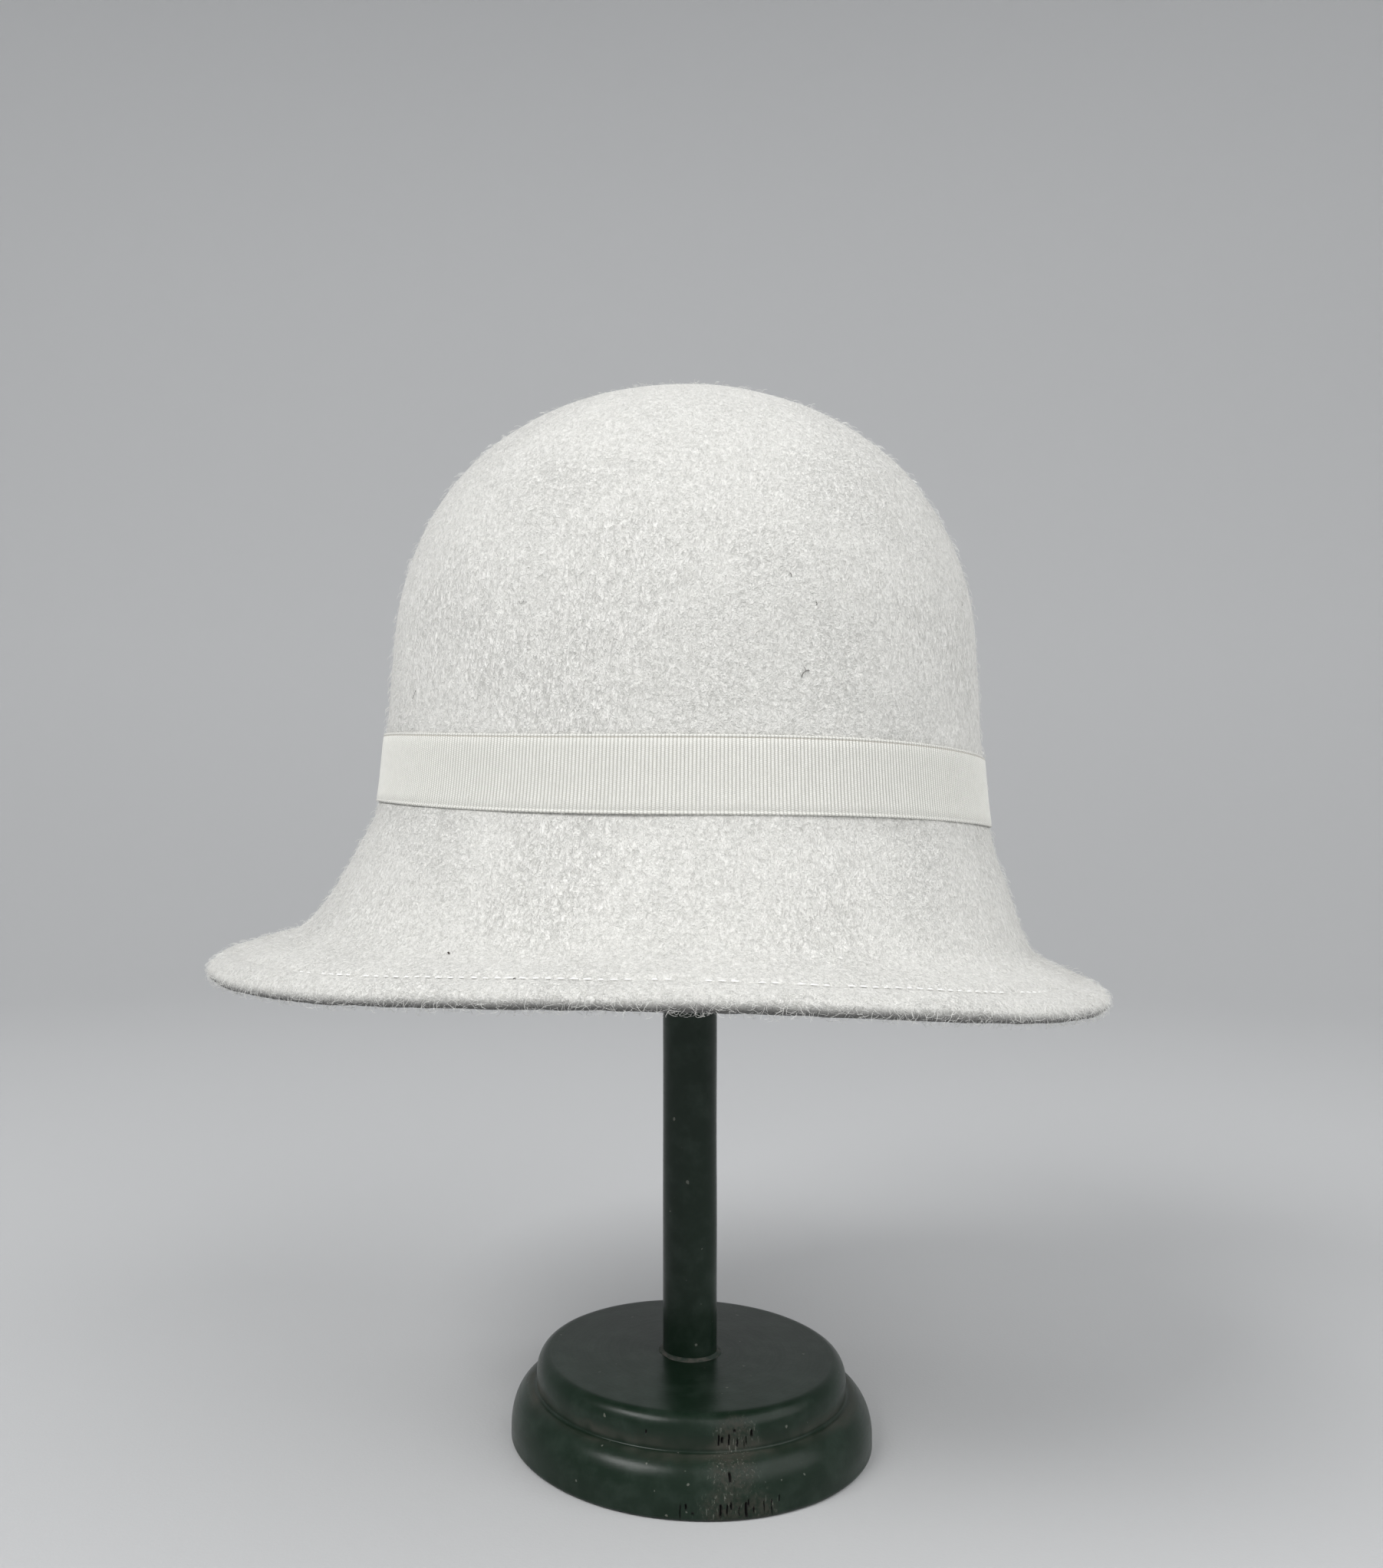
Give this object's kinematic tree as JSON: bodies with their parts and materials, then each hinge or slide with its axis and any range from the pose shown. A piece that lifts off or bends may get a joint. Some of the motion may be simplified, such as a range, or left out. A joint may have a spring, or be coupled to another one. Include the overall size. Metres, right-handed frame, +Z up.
{
  "type": "cloche hat on a hat stand",
  "caption": "Bell-shaped felt cloche hat with a turned-under brim and a ribbed ribbon band, resting on a round turned stand with a dowel post.",
  "frame": {"origin": "centre of the stand's flat underside, on the table", "axes": "+Z up along the post, -X to the hat's front, -Y to the hat's left side"},
  "size_m": [0.2884, 0.261, 0.347],
  "materials": {
    "felt": "soft white wool felt with a short nap",
    "ribbon": "ivory grosgrain with upright ribs",
    "green_paint": "dark bottle green satin paint on turned wood",
    "plain_wood": "bare turned wood"
  },
  "bodies": {
    "root": {"felt_hood": "felt", "ribbon_band": "ribbon", "stand_base": "green_paint", "stand_post": "green_paint", "stand_dome": "plain_wood"}
  },
  "joints": []
}
